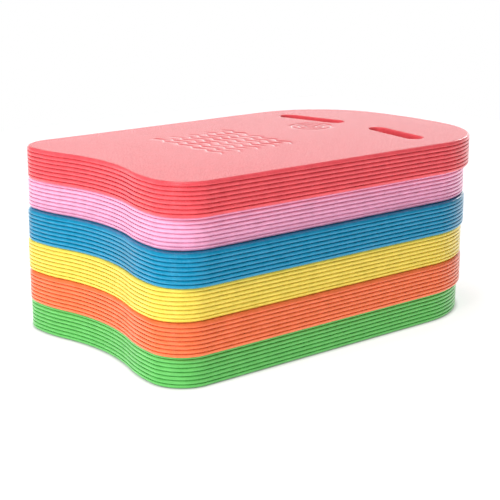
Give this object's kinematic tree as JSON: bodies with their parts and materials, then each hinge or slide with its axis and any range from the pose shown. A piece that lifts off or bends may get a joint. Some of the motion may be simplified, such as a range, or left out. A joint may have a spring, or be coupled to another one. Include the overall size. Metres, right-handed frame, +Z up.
{
  "type": "stack of swimming kickboards",
  "caption": "Stack of foam swimming kickboards with ribbed edges, a rounded nose, twin hand slots and a two-lobed tail; each board lifts off the one below.",
  "frame": {"origin": "centre of the lowest board's underside, on the floor the stack stands on", "axes": "+X from the two-lobed tail to the rounded nose, +Y across the boards to the left, +Z up through the stack"},
  "size_m": [0.4562, 0.3068, 0.1981],
  "materials": {
    "red_foam": "closed-cell EVA foam with a matt moulded skin, coral red",
    "pink_foam": "closed-cell EVA foam with a matt moulded skin, light pink",
    "blue_foam": "closed-cell EVA foam with a matt moulded skin, turquoise blue",
    "yellow_foam": "closed-cell EVA foam with a matt moulded skin, lemon yellow",
    "orange_foam": "closed-cell EVA foam with a matt moulded skin, orange",
    "green_foam": "closed-cell EVA foam with a matt moulded skin, leaf green"
  },
  "bodies": {
    "green": {"green_board": "green_foam"},
    "orange": {"orange_board": "orange_foam"},
    "yellow": {"yellow_board": "yellow_foam"},
    "blue": {"blue_board": "blue_foam"},
    "pink": {"pink_board": "pink_foam"},
    "red": {"red_board": "red_foam"}
  },
  "joints": [
    {"name": "orange_lift", "type": "slide", "parent": "green", "child": "orange", "axis": [0, 0, 1], "range_m": [0, 0.06]},
    {"name": "yellow_lift", "type": "slide", "parent": "orange", "child": "yellow", "axis": [0, 0, 1], "range_m": [0, 0.06]},
    {"name": "blue_lift", "type": "slide", "parent": "yellow", "child": "blue", "axis": [0, 0, 1], "range_m": [0, 0.06]},
    {"name": "pink_lift", "type": "slide", "parent": "blue", "child": "pink", "axis": [0, 0, 1], "range_m": [0, 0.06]},
    {"name": "red_lift", "type": "slide", "parent": "pink", "child": "red", "axis": [0, 0, 1], "range_m": [0, 0.06]}
  ]
}
